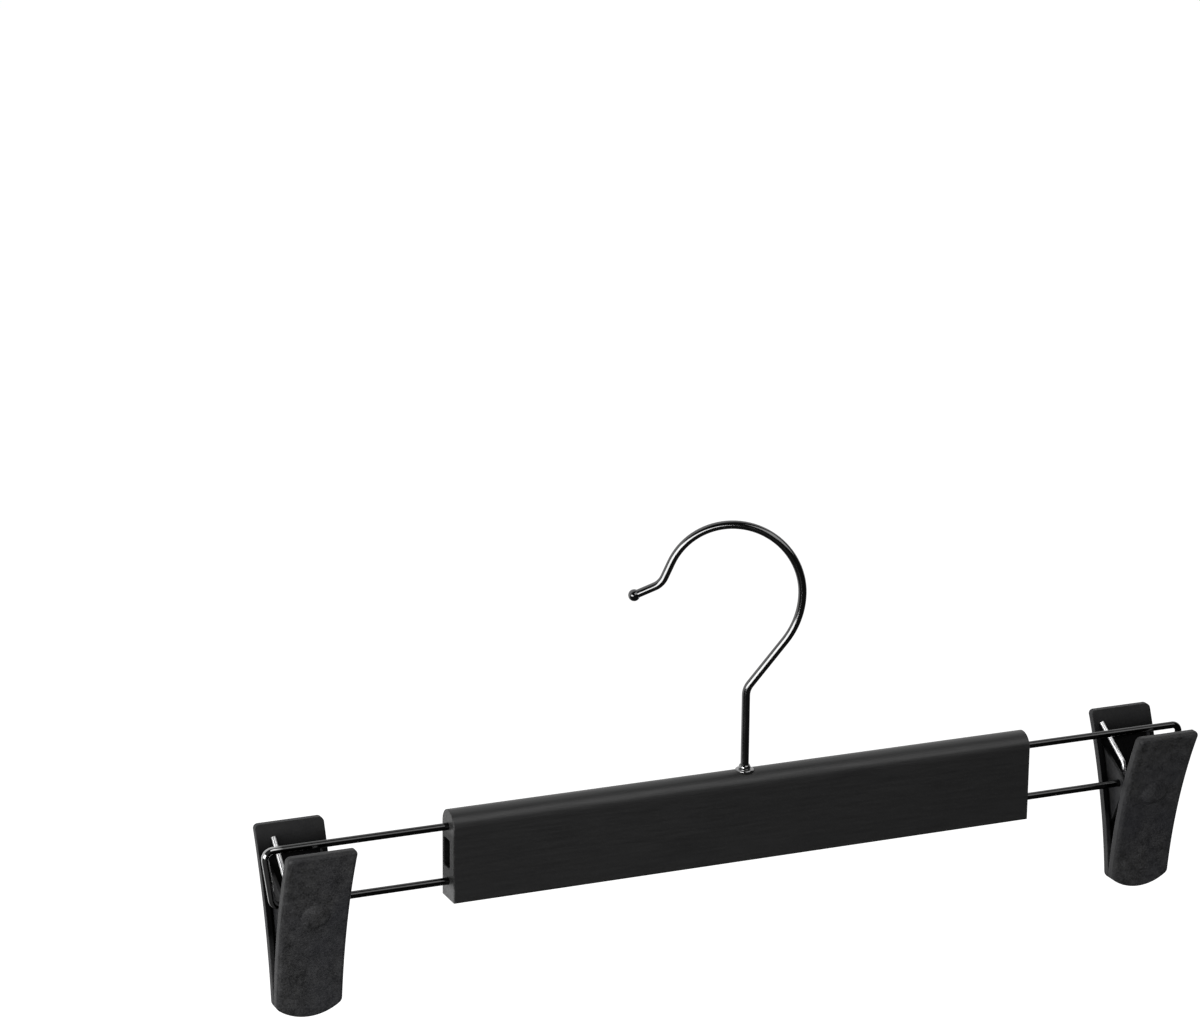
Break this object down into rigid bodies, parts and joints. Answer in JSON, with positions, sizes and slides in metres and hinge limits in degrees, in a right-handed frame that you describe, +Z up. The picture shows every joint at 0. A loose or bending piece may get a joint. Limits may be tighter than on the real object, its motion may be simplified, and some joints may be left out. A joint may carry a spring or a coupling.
{
  "type": "skirt hanger",
  "caption": "Slim bar hanger with a swivel hook and a sprung clip at each end that slides on a wire frame, for hanging skirts by the waistband.",
  "frame": {"origin": "where the hook rests on a rail, straight above the stem", "axes": "+X along the bar to the right, +Y to the rear, +Z up"},
  "size_m": [0.3598, 0.0405, 0.1584],
  "materials": {
    "bar_wood": "matte black lacquer on wood",
    "dark_metal": "glossy black nickel plating on steel wire",
    "jaw_plastic": "fine-grained black moulding",
    "spring_steel": "bright drawn wire"
  },
  "bodies": {
    "hook": {"hook": "dark_metal"},
    "bar": {"bar": "bar_wood", "hook_ferrule": "dark_metal", "hook_washer": "spring_steel", "left_frame": "dark_metal", "right_frame": "dark_metal"},
    "left_clip": {"left_spring": "spring_steel"},
    "left_front_jaw": {"left_front_jaw": "jaw_plastic"},
    "left_rear_jaw": {"left_rear_jaw": "jaw_plastic"},
    "right_clip": {"right_spring": "spring_steel"},
    "right_front_jaw": {"right_front_jaw": "jaw_plastic"},
    "right_rear_jaw": {"right_rear_jaw": "jaw_plastic"}
  },
  "joints": [
    {"name": "bar_swivel", "type": "hinge", "parent": "hook", "child": "bar", "pos_m": [0, 0, -0.08765], "axis": [0, 0, 1], "continuous": true},
    {"name": "left_clip_slide", "type": "slide", "parent": "bar", "child": "left_clip", "axis": [1, 0, 0], "range_m": [0, 0.0392]},
    {"name": "left_front_jaw_open", "type": "hinge", "parent": "left_clip", "child": "left_front_jaw", "pos_m": [-0.1644, 0, -0.11365], "axis": [-1, 0, 0], "range_deg": [0, 22], "stiffness_Nm_per_rad": 0.25, "springref_deg": -45.84, "deforming": ["left_spring"]},
    {"name": "left_rear_jaw_open", "type": "hinge", "parent": "left_clip", "child": "left_rear_jaw", "pos_m": [-0.1644, 0, -0.11365], "axis": [1, 0, 0], "range_deg": [0, 22]},
    {"name": "right_clip_slide", "type": "slide", "parent": "bar", "child": "right_clip", "axis": [-1, 0, 0], "range_m": [0, 0.038]},
    {"name": "right_front_jaw_open", "type": "hinge", "parent": "right_clip", "child": "right_front_jaw", "pos_m": [0.1632, 0, -0.11365], "axis": [-1, 0, 0], "range_deg": [0, 22], "stiffness_Nm_per_rad": 0.25, "springref_deg": -45.84, "deforming": ["right_spring"]},
    {"name": "right_rear_jaw_open", "type": "hinge", "parent": "right_clip", "child": "right_rear_jaw", "pos_m": [0.1632, 0, -0.11365], "axis": [1, 0, 0], "range_deg": [0, 22]}
  ],
  "couplings": [
    {"joint": "left_rear_jaw_open", "follows": "left_front_jaw_open", "ratio": 1},
    {"joint": "right_rear_jaw_open", "follows": "right_front_jaw_open", "ratio": 1}
  ]
}
